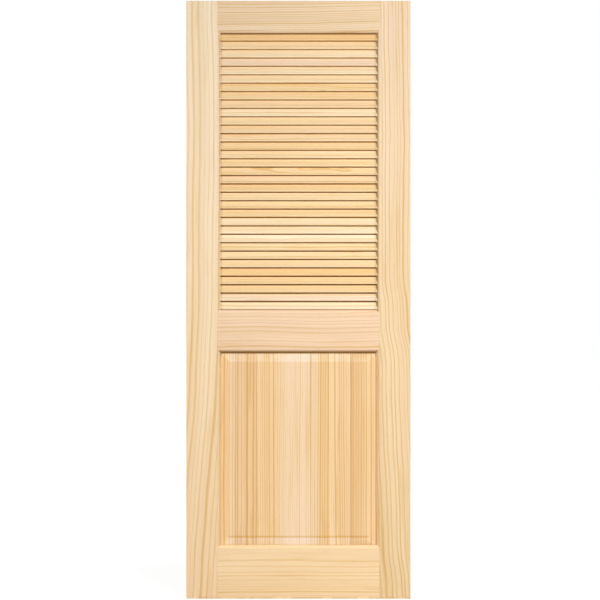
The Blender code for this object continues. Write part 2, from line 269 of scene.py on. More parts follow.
def growth_rings(place, ring_width, waviness):
    """How much dark late wood each place in the log has, and how rich the years around it were."""
    # The trunk isn't straight, so the heart wanders slowly and each ring wavers a little
    wander = (place * WANDER_SCALE).noise(1.0, output="Color") - 0.5
    waver = (place * WAVER_SCALE).noise(1.0, output="Color") - 0.5
    bent = place + (WANDER_WEIGHT * wander + WAVER_WEIGHT * waver) * waviness
    rings = (bent * (1.0, 1.0, 0.0)).length() / ring_width

    # Good and lean years change the width of a ring and the depth of its dark band
    uneven = rings + (rings.noise_along(YEAR_SCALE) - 0.5) * YEAR_UNEVENNESS
    year = uneven.maths("FLOOR", uneven)
    phase = uneven - year
    start = BAND_START + BAND_DELAY * (year + 0.5).chance()
    band = phase.ramp(start, BAND_PEAK) * (1 - phase.ramp(*BAND_END))
    late = band * (FAINTEST_BAND + (1 - FAINTEST_BAND) * year.chance())
    return {"late": late, "era": rings.noise_along(ERA_SCALE).ramp(*ERA_RISE)}


def fine_grain(place):
    """Fibres, flecks, resin streaks and slow patches at each place in the log."""
    return {
        "fibre": (place * FIBRE_SCALE).noise(2.0) - 0.5,
        "fleck": (place * FLECK_SCALE).noise().ramp(*FLECK_RISE),
        "streak": (place * STREAK_SCALE).noise(1.0).ramp(*STREAK_RISE),
        "patch": (place * PATCH_SCALE).noise(2.0) - 0.5,
    }


def weighed(signals, base, **weights):
    """A base number plus each named signal times its weight."""
    total = base
    for name, weight in weights.items():
        total = total + weight * signals[name]
    return total


print("dark bands start at", BAND_START, "of a year at the earliest")

# %% [markdown]
# ## The finish
# Bare pine isn't the same all over, and light is painted into it too. Hollows, corners and slat ends get
# painted shade, planed mouldings a painted sheen, and a bevel cut at a slant to the fibres is fuzzy and pale.
# Such marks could be placed by their height on the door, but they belong to its shapes. So each piece says on
# its points how deep in a hollow they lie, how strong the painted shade is (below 0 for a painted sheen) and
# how fuzzy the wood is (below 0 for painted shade). Only the patchy darkening at the foot goes by height.

# %% Make the pine finishes
UNTINTED = (1, 1, 1, 1)
LATE_WOOD_TINT = (0.785, 0.635, 0.37)
FLECK_LOSS = 0.06
# The share of each colour channel lost to painted shade where a hollow is fully shaded
PAINTED_SHADE_LOSS = (0.69, 0.80, 0.98)
# Painted shade at the slats' ends beside the stiles: its strength, and how far in from the opening's edge it
# starts and where it is full
SLAT_END_SHADE = 0.22
SLAT_END_INSETS = (0.010, 0.003)
END_GRAIN_TINT = (0.80, 0.74, 0.66, 1)
FUZZ_LIFT = (0.045, 0.11, 0.27)
# How far a face turns to the fibres' ends, 0 to 1, where each starts and where it is full
END_GRAIN_RISE = (0.6, 0.95)
FUZZ_RISE = (0.05, 0.12)
FOOT_DARKENING_TINT = (0.78, 0.71, 0.62, 1)
FOOT_DARKENING_HEIGHT = 0.010
FOOT_DARKENING_SCALE = 22.0
FOOT_DARKENING_RISE = (0.35, 0.6)
# What each part of the grain adds to the warm colour, the roughness and the relief
RICHNESS = dict(base=0.09, late=1.2, era=0.3, streak=0.35)
UNEVENNESS = dict(base=0.0, fibre=0.4, patch=0.4)
ROUGHNESS = dict(base=0.60, late=-0.10, fibre=0.12, end_grain=0.15)
RELIEF = dict(base=0.0, fibre=0.6, late=0.4, fleck=-0.5)
BUMP = {"Strength": 0.25, "Distance": 0.0004}
PINE_SPECULAR = 0.35


def new_finish(name):
    """A new material, a wire to build its nodes with, and its surface node."""
    material = bpy.data.materials.new(name)
    material.use_nodes = True
    return material, Wire(material.node_tree), material.node_tree.nodes["Principled BSDF"]


def pine(name, grain_axis, shaded_ends=None):
    """Bare sanded pine with its grain along an axis; shaded_ends are the distances aside where painted shade
    starts and is full.
    """
    material, shader, surface = new_finish(name)

    def written(attribute, output="Vector"):
        return shader.node("ShaderNodeAttribute", {"attribute_name": attribute}, {}, output)

    place = written("log_place")
    board = written("board_grain")
    pale = written("board_colour", "Color")
    hollow = written("hollow")
    spot = shader.object_spot()

    grain = {**growth_rings(place, board.part("X"), board.part("Z")), **fine_grain(place)}
    warmth = weighed(grain, **RICHNESS) * board.part("Y") + weighed(grain, **UNEVENNESS)
    wood = warmth.mix(pale, pale * LATE_WOOD_TINT) * (1 - FLECK_LOSS * grain["fleck"])

    # Painted shade in the hollows, a painted sheen where the strength is below 0, and painted shade at slat
    # ends
    painted_shade = hollow.part("X").ramp(0.0, 1.0) * hollow.part("Y")
    if shaded_ends:
        painted_shade = painted_shade.larger(SLAT_END_SHADE * abs(spot.part("X")).ramp(*shaded_ends))
    wood = wood * (1 - painted_shade * PAINTED_SHADE_LOSS)

    # A cut across the fibres is darker, one at a slant to them fuzzy and pale; a fuzz below 0 paints shade
    facing = abs(shader.node("ShaderNodeNewGeometry", {}, {}, "Normal").part(grain_axis))
    grain["end_grain"] = facing.ramp(*END_GRAIN_RISE)
    fuzz_and_shade = facing.ramp(*FUZZ_RISE) * hollow.part("Z")
    wood = wood * grain["end_grain"].mix(UNTINTED, END_GRAIN_TINT) * (fuzz_and_shade * FUZZ_LIFT + 1.0)

    # Darker in patches along the door's foot
    low_down = 1 - spot.part("Z").ramp(0.0, FOOT_DARKENING_HEIGHT)
    foot_darkening = low_down * (spot * FOOT_DARKENING_SCALE).noise(2.0).ramp(*FOOT_DARKENING_RISE)
    wood = wood * foot_darkening.mix(UNTINTED, FOOT_DARKENING_TINT)

    relief = weighed(grain, **RELIEF)
    wood.into(surface, "Base Color")
    weighed(grain, **ROUGHNESS).into(surface, "Roughness")
    relief.node("ShaderNodeBump", {}, {**BUMP, "Height": relief}, "Normal").into(surface, "Normal")
    surface.inputs["Specular IOR Level"].default_value = PINE_SPECULAR
    return material


STILE_PINE = pine("stile_pine", "Z")
RAIL_PINE = pine("rail_pine", "X")
SLAT_PINE = pine("slat_pine", "X", [OPENING_HALF_WIDTH - inset for inset in SLAT_END_INSETS])
PANEL_PINE = pine("panel_pine", "Z")
print("pine finishes with", len(STILE_PINE.node_tree.nodes), "nodes each")

# %% [markdown]
# ## Boards from a log
# The sawmill decides what a board looks like: cut beside the heart it has broad figure, cut square to the
# rings it has fine straight lines. So each board gets a place in a log of its own, written on its points:
# where the heart lies, how the grain drifts sideways on its way, how wide the rings are, and how the colour
# changes along or across the board. A picture for each board could hold that too, but it would stretch at
# every edge. A point's place in the log is a plain shift of its place in the door, so it fits every face.

# %% Give a board its place in a log
LOG_SPACING = 7.3
STOP_SMOOTHING = 0.012
STOP_SAMPLES = 7
NO_FADE = ((1, 1, 1, 1),)
WOOD_ATTRIBUTES = ("log_place", "board_grain", "board_colour")


def wood_colour(red, green, blue):
    """A colour as seen on the screen, 0 to 255, in the linear numbers that materials use."""
    shares = np.array((red, green, blue)) / 255
    linear = np.where(shares <= 0.04045, shares / 12.92, ((shares + 0.055) / 1.055) ** 2.4)
    return tuple(linear.tolist()) + (1.0,)


def write_on_points(mesh, name, values, field="vector"):
    """Writes a vector on each point of a mesh, or a colour where the field is color."""
    attribute = mesh.attributes.new(name, f"FLOAT_{field.upper()}", "POINT")
    attribute.data.foreach_set(field, np.asarray(values, np.float32).ravel())


def through_stops(stops, share):
    """A value at each share of a board's length, running smoothly through (share, value) stops."""
    shares, values = zip(*stops)
    around = np.linspace(-STOP_SMOOTHING, STOP_SMOOTHING, STOP_SAMPLES)
    return np.mean([np.interp(share + shift, shares, values) for shift in around], axis=0)


def evenly_between(colours, share):
    """The colour at each share of the way through a row of evenly spaced colours."""
    stops = np.linspace(0, 1, len(colours))
    return np.stack([np.interp(share, stops, channel) for channel in zip(*colours)], 1)


def saw_from_log(mesh, upright, colours, heart, ring_width, strength, waviness, log_number, drift,
                 blend="along", fade=NO_FADE):
    """Writes a board's place in its log on its points. heart is across and behind the board's middle.

    drift and fade change along the board, from its top or its left end. colours change along it or across it.
    """
    points = np.empty(len(mesh.vertices) * 3, np.float32)
    mesh.vertices.foreach_get("co", points)
    points = points.reshape(-1, 3)
    across, along = (0, 2) if upright else (2, 0)
    low = points.min(0)
    size = points.max(0) - low
    shares = (points - low) / size
    share = 1 - shares[:, along] if upright else shares[:, along]
    side = points[:, across] - low[across] - size[across] / 2 - heart[0] - through_stops(drift, share)
    run = share * size[along] + log_number * LOG_SPACING
    colour = evenly_between(colours, shares[:, across] if blend == "across" else share)
    write_on_points(mesh, "log_place", np.stack((side, points[:, 1] - heart[1], run), 1))
    write_on_points(mesh, "board_grain", [(ring_width, strength, waviness)] * len(points))
    write_on_points(mesh, "board_colour", colour * evenly_between(fade, share), "color")


def shade_hollow(mesh, hollow_at):
    """Writes how deep in a hollow each point lies, how strong its painted shade (below 0: sheen) and its fuzz
    are.
    """
    write_on_points(mesh, "hollow", [hollow_at(vertex.co) for vertex in mesh.vertices])


print("log spacing", LOG_SPACING, "m, so that no two boards share a stretch of grain")

# %% [markdown]
# ## Sections and solids
# Joinery is milled: a cutter shape is run along the whole length of a board. So each member starts as an
# outline that is drawn once and pushed along an axis. A real cutter leaves no knife edges, so the outline's
# corners are eased first. Beveling the finished solid would do that too, but it stumbles at slots.

# %% Ease an outline's corners and push it along
EASED_RADIUS = 0.0005
EASED_STEPS = 3
# The most of a side that one eased corner may take
EASED_SHARE = 0.4
SMOOTH_ANGLE = radians(38)
# The smallest turn that counts as a corner and not as a step of a curve
CORNER_ANGLE = radians(40)


def eased(outline):
    """The outline with each sharp corner replaced by a small arc."""
    points = [Vector(point) for point in outline]
    result = []
    for index, corner in enumerate(points):
        before = points[index - 1] - corner
        after = points[(index + 1) % len(points)] - corner
        turn = pi - before.angle(after)
        if turn < CORNER_ANGLE:
            result.append(corner)
            continue
        reach = min(EASED_RADIUS * tan(turn / 2), EASED_SHARE * before.length, EASED_SHARE * after.length)
        start = corner + before.normalized() * reach
        end = corner + after.normalized() * reach
        for step in range(EASED_STEPS + 1):
            share = step / EASED_STEPS
            outer = start.lerp(corner, share)
            inner = corner.lerp(end, share)
            result.append(outer.lerp(inner, share))
    return result


def pushed(outline, low, high, axis, lengths=1):
    """A closed solid: an outline in the two axes that are left, from low to high along the axis given."""
    order = {"X": (2, 0, 1), "Z": (0, 1, 2)}[axis]
    work = bmesh.new()
    sections = []
    for level in np.linspace(low, high, lengths + 1):
        values = [(point[0], point[1], level) for point in outline]
        sections.append([work.verts.new([value[place] for place in order]) for value in values])
    work.faces.new(sections[0])
    work.faces.new(sections[-1])
    for first, second in zip(sections, sections[1:]):
        for index in range(len(outline)):
            work.faces.new((first[index - 1], first[index], second[index], second[index - 1]))
    bmesh.ops.recalc_face_normals(work, faces=work.faces)
    mesh = bpy.data.meshes.new("pushed")
    work.to_mesh(mesh)
    work.free()
    return mesh


def add_object(name, mesh):
    holder = bpy.data.objects.new(name, mesh)
    bpy.context.scene.collection.objects.link(holder)
    return holder


def plain_mesh(holder, name):
    """The object's evaluated shape as a mesh of its own; the object and its modifiers go."""
    evaluated = holder.evaluated_get(bpy.context.evaluated_depsgraph_get())
    mesh = bpy.data.meshes.new_from_object(evaluated)
    mesh.name = name
    bpy.data.objects.remove(holder, do_unlink=True)
    return mesh


def cut(name, mesh, removed, kept=(), smooth_angle=SMOOTH_ANGLE):
    """A solid with others taken away, trimmed to what it shares with the kept ones, shaded as milled wood."""
    holder = add_object(name, mesh)
    for cutters, operation in ((kept, "INTERSECT"), (removed, "DIFFERENCE")):
        for cutter in cutters:
            boolean = holder.modifiers.new(operation, "BOOLEAN")
            boolean.operation = operation
            boolean.solver = "EXACT"
            boolean.object = cutter
    shaped = plain_mesh(holder, name)
    shaped.shade_smooth()
    shaped.set_sharp_from_angle(angle=smooth_angle)
    holder = add_object(name, shaped)
    even = holder.modifiers.new("even shading", "WEIGHTED_NORMAL")
    even.keep_sharp = True
    return plain_mesh(holder, name)


def add_piece(name, mesh, finish, slot, *nodes):
    """A finished piece at the origin, riding with the door in place of the nodes it stands for."""
    mesh.materials.clear()
    mesh.materials.append(finish)
    piece = add_object(name, mesh)
    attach(piece, "root")
    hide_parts(*nodes)
    print(name, len(mesh.vertices), "points,", len(mesh.polygons), "faces")


print("corners eased to", EASED_RADIUS * 1000, "mm")

# %% [markdown]
# ## The louvre slats
# Thirty-three thin slats with rounded noses lean in the opening, each let into a slot in both stiles. They
# could be copies of one object, but they differ: each comes from another piece of wood and sits a touch
# differently in its slot. A Geometry Nodes tree sweeps the section once, puts it on a point for each slat
# with a small seeded change of tilt, and passes on the wood that is written on that point, with painted
# shade where the nose above hides it, a painted highlight just below that, and painted shade at its own nose.
# With a little clearance, the same tree makes the solids that cut the slots, so the slats always fit.

# %% Build the slat tree
SLAT_TILT = radians(55)
SLAT_THICKNESS = 0.0065
SLAT_NOSE_RADIUS = 0.0031
SLAT_NOSE_STEPS = 7
SLAT_TILT_PLAY = radians(0.35)
SLAT_SEED = 11
# How far above a slat's middle its painted shade starts, from the door's top down; the top slat lies under a
# rail
SLAT_HOLLOW_STARTS = (0.0127, 0.0066)
TOP_SLAT_HOLLOW_START = 0.0042
SLAT_HOLLOW_FADE = 0.0018
# How strong the painted shade under the nose above is, from the top slat down
SLAT_SHADE_STRENGTHS = (0.9, 1.0)
# Painted shade on a slat's own nose and a painted highlight at the top of its face, with their reaches
NOSE_PAINTED_SHADE = (0.96, 0.955, 0.94)
NOSE_SHADE_FADE = (0.010, 0.004)
FACE_TOP_PAINTED_LIGHT = (1.04, 1.05, 1.09)
FACE_TOP_LIGHT_FADE = (0.008, 0.002)
SLAT_LENGTH = SLAT_HIGH.x - SLAT_LOW.x
slat_core = SLAT_THICKNESS - 2 * SLAT_NOSE_RADIUS
slat_core_rise = SLAT_HIGH.z - SLAT_LOW.z - 2 * SLAT_NOSE_RADIUS - slat_core * cos(SLAT_TILT)
SLAT_WIDTH = slat_core_rise / sin(SLAT_TILT) + 2 * SLAT_NOSE_RADIUS
SLAT_SIZES = ("Length", "Width", "Thickness", "Nose Radius", "Tilt", "Tilt Play")
SLAT_INPUTS = {"Places": "Geometry", **dict.fromkeys(SLAT_SIZES, "Float"), "Seed": "Int", "Wood": "Material"}


def stored(geometry, name, value, kind="FLOAT_VECTOR"):
    """The geometry with a value written on its points."""
    inputs = {"Geometry": geometry, "Name": name, "Value": value}
    return geometry.node("GeometryNodeStoreNamedAttribute", {"data_type": kind}, inputs)


def read(geometry, name, kind="FLOAT_VECTOR"):
    """A value that is written on the geometry's points."""
    return geometry.node("GeometryNodeInputNamedAttribute", {"data_type": kind}, {"Name": name})


def swept_slat(given):
    """One slat along X, with each point's place on it."""
    length = given["Length"]
    ends = {"Start": length.vector(X=length * -0.5), "End": length.vector(X=length * 0.5)}
    line = length.node("GeometryNodeCurvePrimitiveLine", {}, ends)
    line = line.node("GeometryNodeSetCurveNormal", {"mode": "Z_UP"}, {"Curve": line})
    sides = {"Width": given["Width"], "Height": given["Thickness"]}
    section = line.node("GeometryNodeCurvePrimitiveQuadrilateral", {}, sides)
    rounding = {"Curve": section, "Radius": given["Nose Radius"], "Count": SLAT_NOSE_STEPS}
    section = section.node("GeometryNodeFilletCurve", {"mode": "POLY"}, rounding)
    sweep = {"Curve": line, "Profile Curve": section, "Fill Caps": True}
    slat = line.node("GeometryNodeCurveToMesh", {}, sweep)
    return stored(slat, "slat_place", slat.node("GeometryNodeInputPosition", {}, {}))


def tilted_slats(given, slat):
    """The slat on each place, tilted with some play."""
    tilt = given["Tilt"]
    play = given["Tilt Play"]
    spread = {2: tilt - play, 3: tilt + play, "Seed": given["Seed"]}
    turn = slat.node("FunctionNodeRandomValue", {"data_type": "FLOAT"}, spread, 1)
    placing = {"Points": given["Places"], "Instance": slat, "Rotation": turn.vector(X=turn)}
    slats = slat.node("GeometryNodeInstanceOnPoints", {}, placing)
    return slats.node("GeometryNodeRealizeInstances", {}, {"Geometry": slats})


def with_wood(given, slats):
    """The slats with their logs, their painted shade in the hollows, and their tones with painted light and
    shade.
    """
    local = read(slats, "slat_place")
    height = local.part("Y")
    in_log = local.vector(X=height, Y=local.part("Z"), Z=local.part("X")) + read(slats, "log_shift")
    slats = stored(slats, "log_place", in_log)

    shape = read(slats, "hollow_shape")
    start = shape.part("X")
    hollow = shape.vector(X=(height - start) / SLAT_HOLLOW_FADE, Y=shape.part("Y"))
    slats = stored(slats, "hollow", hollow)

    tone = read(slats, "board_colour", "FLOAT_COLOR")
    # Painted shade on the nose, and a painted highlight just below where the nose above hides the face
    above_nose = height + given["Width"] * 0.5
    tone = above_nose.ramp(*NOSE_SHADE_FADE).mix(tone, tone * NOSE_PAINTED_SHADE)
    tone = (start - height).ramp(*FACE_TOP_LIGHT_FADE).mix(tone, tone * FACE_TOP_PAINTED_LIGHT)
    return stored(slats, "board_colour", tone, "FLOAT_COLOR")


def slat_tree():
    """Slats on points: a swept section, tilted with some play, carrying the wood of its point."""
    tree = bpy.data.node_groups.new("louvre_slats", "GeometryNodeTree")
    for name, kind in SLAT_INPUTS.items():
        tree.interface.new_socket(name, in_out="INPUT", socket_type=f"NodeSocket{kind}")
    tree.interface.new_socket("Slats", in_out="OUTPUT", socket_type="NodeSocketGeometry")
    group_input = tree.nodes.new("NodeGroupInput")
    given = {name: Wire(tree, group_input.outputs[name]) for name in SLAT_INPUTS}
    slats = with_wood(given, tilted_slats(given, swept_slat(given)))
    slats = slats.node("GeometryNodeSetMaterial", {}, {"Geometry": slats, "Material": given["Wood"]})
    slats.into(tree.nodes.new("NodeGroupOutput"), "Slats")
    return tree


SLAT_TREE = slat_tree()
print("slat", round(SLAT_WIDTH * 1000, 1), "mm wide,", round(SLAT_LENGTH * 1000, 1), "mm long")

# %% [markdown]
# ## A tone for each slat
# The slats come out of a bin of mixed offcuts, which is what gives the louvres their stripes: cream sapwood
# beside pink and honey-coloured heartwood. A random tone for each would look as natural, but the order in the
# photograph is easy to see from a step away, so it is set out in words, from the top slat down.

# %% Choose the slats' wood
TONES = {
    "ivory": wood_colour(249, 230, 199),
    "cream": wood_colour(247, 226, 191),
    "blush": wood_colour(243, 220, 192),
    "straw": wood_colour(245, 220, 179),
    "pink": wood_colour(243, 216, 179),
    "rose": wood_colour(240, 216, 188),
    "tan": wood_colour(241, 214, 173),
    "honey": wood_colour(242, 214, 167),
    "amber": wood_colour(240, 205, 150),
}
SLAT_TONES = """
    amber straw cream rose cream cream honey honey tan ivory straw
    tan tan honey straw honey honey pink honey straw honey honey
    cream cream ivory straw straw straw amber honey honey blush ivory
""".split()
SLAT_HEART_REACH = 0.09
SLAT_HEART_SHARES = (0.4, 1.0)
SLAT_RING_WIDTHS = (0.004, 0.0075)
SLAT_STRENGTHS = (0.5, 0.7)
SLAT_WAVINESS = 0.003
CURLY_SLATS = (7, 13, 17)
CURLY_WAVINESS = 0.012
PLAIN_SLATS = (24, 25)
PLAIN_SHARE = 0.5


def slat_places():
    """A point for each slat, with its wood written on it."""
    mesh = bpy.data.meshes.new("slat_places")
    mesh.from_pydata([tuple(middle) for middle in SLAT_MIDDLES], [], [])
    dice = np.random.default_rng(SLAT_SEED)
    shifts, grains, colours = [], [], []
    for number, tone in enumerate(SLAT_TONES, start=1):
        direction = dice.uniform(0, 2 * pi)
        distance = dice.uniform(*SLAT_HEART_SHARES) * SLAT_HEART_REACH
        shifts.append((distance * cos(direction), distance * sin(direction), -number * LOG_SPACING))
        waviness = CURLY_WAVINESS if number in CURLY_SLATS else SLAT_WAVINESS
        ring_width = dice.uniform(*SLAT_RING_WIDTHS)
        strength = dice.uniform(*SLAT_STRENGTHS) * (PLAIN_SHARE if number in PLAIN_SLATS else 1)
        grains.append((ring_width, strength, waviness))
        colours.append(TONES[tone])
    # Painted shade under the nose above: where it starts and how strong it is, from the top slat down
    starts = np.linspace(*SLAT_HOLLOW_STARTS, len(SLAT_TONES))
    shade_strength = np.linspace(*SLAT_SHADE_STRENGTHS, len(SLAT_TONES))
    hollows = [(start, painted_shade, 0) for start, painted_shade in zip(starts, shade_strength)]
    hollows[0] = (TOP_SLAT_HOLLOW_START, 1, 0)
    write_on_points(mesh, "hollow_shape", hollows)
    write_on_points(mesh, "log_shift", shifts)
    write_on_points(mesh, "board_grain", grains)
    write_on_points(mesh, "board_colour", colours, "color")
    return mesh


def grow_slats(name, clearance, length, play):
    """Runs the slat tree on the slats' places and returns a plain mesh."""
    holder = add_object(name, slat_places())
    modifier = holder.modifiers.new("slats", "NODES")
    modifier.node_group = SLAT_TREE
    values = {
        "Length": length,
        "Width": SLAT_WIDTH + 2 * clearance,
        "Thickness": SLAT_THICKNESS + 2 * clearance,
        "Nose Radius": SLAT_NOSE_RADIUS + clearance,
        "Tilt": SLAT_TILT,
        "Tilt Play": play,
        "Seed": SLAT_SEED,
        "Wood": SLAT_PINE,
    }
    for socket in SLAT_TREE.interface.items_tree:
        if socket.name in values:
            modifier[socket.identifier] = values[socket.name]
    return plain_mesh(holder, name)


SLAT_ATTRIBUTES = ("slat_place", "log_shift", "hollow_shape", "hollow")
slat_mesh = grow_slats("louvre_slats", 0.0, SLAT_LENGTH, SLAT_TILT_PLAY)
slat_mesh.shade_smooth()
slat_mesh.set_sharp_from_angle(angle=SMOOTH_ANGLE)
add_piece("louvre_slats", slat_mesh, SLAT_PINE, "slat_pine", *SLAT_NODES)

# %% [markdown]
# ## Mortises, grooves and bores
# What holds the frame together is hidden: a slanted slot for each slat end, a groove for the panel's tongue
# and a bore for each dowel. They could be left out, since the camera never sees them, but then solids would
# sit inside one another. Each is one cutter for the whole door, taken from the size of what goes into it.

# %% Make the cutters
FIT = 0.0002
PANEL_SWELL_SPACE = 0.0018
PANEL_TONGUE_THICKNESS = 0.0076
BORE_SEGMENTS = 24

slot_mesh = grow_slats("slots", FIT, SLAT_LENGTH + 2 * FIT, 0.0)
for name in WOOD_ATTRIBUTES + SLAT_ATTRIBUTES:
    slot_mesh.attributes.remove(slot_mesh.attributes[name])
slot_cutter = add_object("slots", slot_mesh)

groove_x = PANEL_HIGH.x + PANEL_SWELL_SPACE
groove_y = PANEL_TONGUE_THICKNESS / 2 + FIT
groove_low = PANEL_LOW.z - PANEL_SWELL_SPACE
groove_high = PANEL_HIGH.z + PANEL_SWELL_SPACE
groove_outline = [(-groove_x, -groove_y), (groove_x, -groove_y), (groove_x, groove_y), (-groove_x, groove_y)]
groove_cutter = add_object("groove", pushed(groove_outline, groove_low, groove_high, "Z"))


def bores():
    """A round hole for each dowel, with room around it."""
    work = bmesh.new()
    for name in DOWEL_NODES:
        low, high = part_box(name)
        size = high - low
        place = Matrix.Translation((low + high) / 2) @ Matrix.Rotation(pi / 2, 4, "Y")
        radius = size.y / 2 + FIT
        round_bar = dict(radius1=radius, radius2=radius, depth=size.x + 2 * FIT, segments=BORE_SEGMENTS)
        bmesh.ops.create_cone(work, cap_ends=True, matrix=place, **round_bar)
    mesh = bpy.data.meshes.new("bores")
    work.to_mesh(mesh)
    work.free()
    return mesh


bore_cutter = add_object("bores", bores())
CUTTERS = (slot_cutter, groove_cutter, bore_cutter)
print(len(DOWEL_NODES), "bores and", len(SLAT_NODES), "slots to cut")

# %% [markdown]
# ## The stiles
# Each stile is a straight plank with a small moulding along its inner edge: a square quirk, then a flattened
# round that faces the opening. It catches the light on the left of the door and falls into shade on the
# right. Painted shade lies deep in both mouldings, strongest on the right beside the slats, and a painted
# sheen on the right one beside the panel. It could be a strip of its own, but as part of the outline it runs
# on under the slats' ends, as the milled one does.

# %% Mill the stiles
MOULDING_SIZE = 0.0098
MOULDING_QUIRK = 0.0010
MOULDING_START = radians(25)
MOULDING_STEPS = 12
MOULDING_RADIUS = (MOULDING_SIZE - MOULDING_QUIRK) / (cos(MOULDING_START) - sin(MOULDING_START))


def moulding_arc(clearance=0.0):
    """The round as (reach, depth) pairs from the flat face's edge; a clearance moves it out of the wood."""
    radius = MOULDING_RADIUS + clearance
    setback = MOULDING_RADIUS * sin(MOULDING_START)
    start = asin((setback + clearance) / radius)
    angles = np.linspace(start, pi / 2 - start, MOULDING_STEPS + 1)
    foot = MOULDING_SIZE + setback
    return [(radius * sin(angle) - setback, foot - radius * cos(angle)) for angle in angles]


def front_and_back(front):
    """An edge's points down from the front face, then the same points mirrored up to the back face."""
    return front + [(across, -depth) for across, depth in reversed(front)]


def moulded_front(edge, towards):
    """A moulded edge's front half as (across, depth) points; towards is the opening's side, 1 or -1."""
    flat_end = edge - towards * MOULDING_SIZE
    front = [(flat_end, -HALF_THICKNESS)]
    front += [(flat_end + towards * reach, depth - HALF_THICKNESS) for reach, depth in moulding_arc()]
    front.append((edge, MOULDING_SIZE - HALF_THICKNESS))
    return front


def moulded_edge(edge, towards):
    return front_and_back(moulded_front(edge, towards))


def square_edge(edge):
    return front_and_back([(edge, -HALF_THICKNESS)])


def moulding_hollow(start, end, shade_strength):
    """Paints shade on a moulding between two depths, which are shares of its size; a strength below 0 paints
    a sheen.
    """

    def hollow_at(place):
        depth = (HALF_THICKNESS - abs(place.y)) / MOULDING_SIZE
        return (depth - start) / (end - start), shade_strength, 0

    return hollow_at


STILE_LENGTHS = 60
STILES = {
    "left": dict(
        colours=(wood_colour(236, 216, 187), wood_colour(236, 212, 177), wood_colour(240, 209, 168)),
        heart=(0.30, 0.28),
        drift=((0, 0), (0.2, 0.007), (0.4, 0.002), (0.5, -0.003), (0.6, -0.009), (0.7, -0.019),
               (0.8, -0.036), (0.9, -0.053), (1, -0.067)),
        ring_width=0.0125,
        strength=0.6,
        waviness=0.006,
        log_number=1,
    ),
    "right": dict(
        colours=(wood_colour(227, 203, 174), wood_colour(227, 201, 163), wood_colour(230, 202, 159)),
        heart=(-0.20, 0.16),
        drift=((0, 0), (0.22, 0.004), (0.33, 0.001), (0.475, 0.003), (0.50, 0.016), (0.555, 0.018),
               (0.585, 0.034), (0.66, 0.037), (0.8, 0.050), (0.93, 0.060), (0.96, 0.070), (1, 0.074)),
        ring_width=0.0095,
        strength=0.75,
        waviness=0.007,
        log_number=2,
    ),
}
# Painted shade deep in each moulding, and a painted sheen on the right one's front beside the panel
LEFT_HOLLOW = moulding_hollow(0.45, 0.9, 0.15)
RIGHT_HOLLOW = moulding_hollow(0.1, 0.7, 0.72)
RIGHT_PAINTED_SHEEN = moulding_hollow(0.0, 0.3, -0.14)


def right_hollow(place):
    """Painted shade beside the slats, with a painted sheen beside the panel."""
    return (RIGHT_HOLLOW if place.z > LOCK_RAIL_TOP else RIGHT_PAINTED_SHEEN)(place)


STILE_HOLLOWS = {"left": LEFT_HOLLOW, "right": right_hollow}
for side, direction in (("left", -1), ("right", 1)):
    inner = moulded_edge(direction * OPENING_HALF_WIDTH, -direction)
    outline = eased(inner + square_edge(direction * HALF_WIDTH)[::-1])
    stile = cut(f"{side}_stile", pushed(outline, 0, DOOR_HEIGHT, "Z", STILE_LENGTHS), CUTTERS)
    saw_from_log(stile, True, **STILES[side])
    shade_hollow(stile, STILE_HOLLOWS[side])
    add_piece(f"{side}_stile", stile, STILE_PINE, "stile_pine", f"stile_{side}")

# %% [markdown]
# ## The rails
# The rails run across, with the same moulding on the edges that face an opening. Where a rail meets a stile,
# its end is coped: cut to the reverse of the moulding, so that it sits over it and shows one straight line. A
# mitre would look alike when new and open up later, so joiners cope. Here the rail's section is trimmed by a
# plan outline that has the moulding's reverse at both ends. The lock rail's top carries a low seat, which
# closes the gap under the lowest slat.

# %% Mill the rails and cope their ends
COPE_GAP = 0.00012
SEAT_HALF_THICKNESS = 0.006


def seated_edge(edge):
    """A moulded upper edge with the lowest slat's seat standing between its mouldings."""
    seat = [(edge, -SEAT_HALF_THICKNESS), (edge + SEAT_RISE, -SEAT_HALF_THICKNESS)]
    return front_and_back(moulded_front(edge, 1) + seat)


def coped_end(towards):
    """A rail's end as (across, depth) points, cut to the reverse of the stile's moulding."""
    flat_edge = OPENING_HALF_WIDTH + MOULDING_SIZE
    front = [(towards * (flat_edge - COPE_GAP), -HALF_THICKNESS - MOULDING_SIZE)]
    for reach, depth in moulding_arc(COPE_GAP):
        front.append((towards * (flat_edge - reach), depth - HALF_THICKNESS))
    root = MOULDING_SIZE - COPE_GAP - HALF_THICKNESS
    front.append((towards * (OPENING_HALF_WIDTH - COPE_GAP), root))
    return front_and_back(front)


ROOT_SHARE = 0.95
MOULDING_ROOT = HALF_THICKNESS - ROOT_SHARE * MOULDING_SIZE
# A painted sheen on a rail's upper moulding, and painted shade at its root and on the mouldings under rails
RAIL_HEAD_PAINTED_SHEEN = moulding_hollow(0.0, 0.3, -0.16)
RAIL_HEAD_ROOT = moulding_hollow(0.8, ROOT_SHARE, 0.35)
TOP_RAIL_FOOT_HOLLOW = moulding_hollow(0.9, 1.0, 1.0)
LOCK_RAIL_FOOT_HOLLOW = moulding_hollow(0.0, 0.75, 0.95)


def rail_hollow(place):
    """Painted shade on the moulding under a rail; the one on top gets a painted sheen, with painted shade at
    its root.
    """
    if place.z > TOP_RAIL_BASE:
        return TOP_RAIL_FOOT_HOLLOW(place)
    if abs(place.z - LOCK_RAIL_BASE) < 2 * MOULDING_SIZE:
        return LOCK_RAIL_FOOT_HOLLOW(place)
    return (RAIL_HEAD_ROOT if abs(place.y) < MOULDING_ROOT else RAIL_HEAD_PAINTED_SHEEN)(place)


